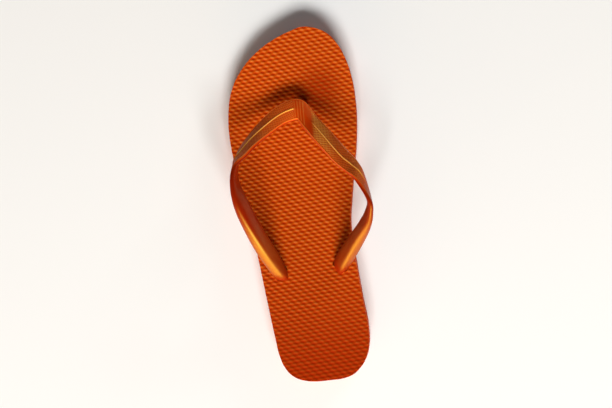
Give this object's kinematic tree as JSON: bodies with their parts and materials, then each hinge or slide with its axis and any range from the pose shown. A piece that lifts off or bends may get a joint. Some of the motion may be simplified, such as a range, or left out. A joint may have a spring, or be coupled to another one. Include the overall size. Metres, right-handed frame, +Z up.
{
  "type": "flip-flop",
  "caption": "Left flip-flop: a die-cut foam sole with a raised heel and a moulded V-shaped thong strap that twists onto its edge beside the foot and plugs through the sole.",
  "frame": {"origin": "on the floor, under the middle of the sole's length", "axes": "+Y to the toe, +Z up, +X towards the inner side of a left foot"},
  "size_m": [0.1035, 0.2699, 0.0636],
  "materials": {
    "foam": "matt embossed foam rubber",
    "strap_rubber": "satin moulded rubber, glossy at the rear"
  },
  "bodies": {
    "root": {"sole": "foam", "strap": "strap_rubber"}
  },
  "joints": []
}
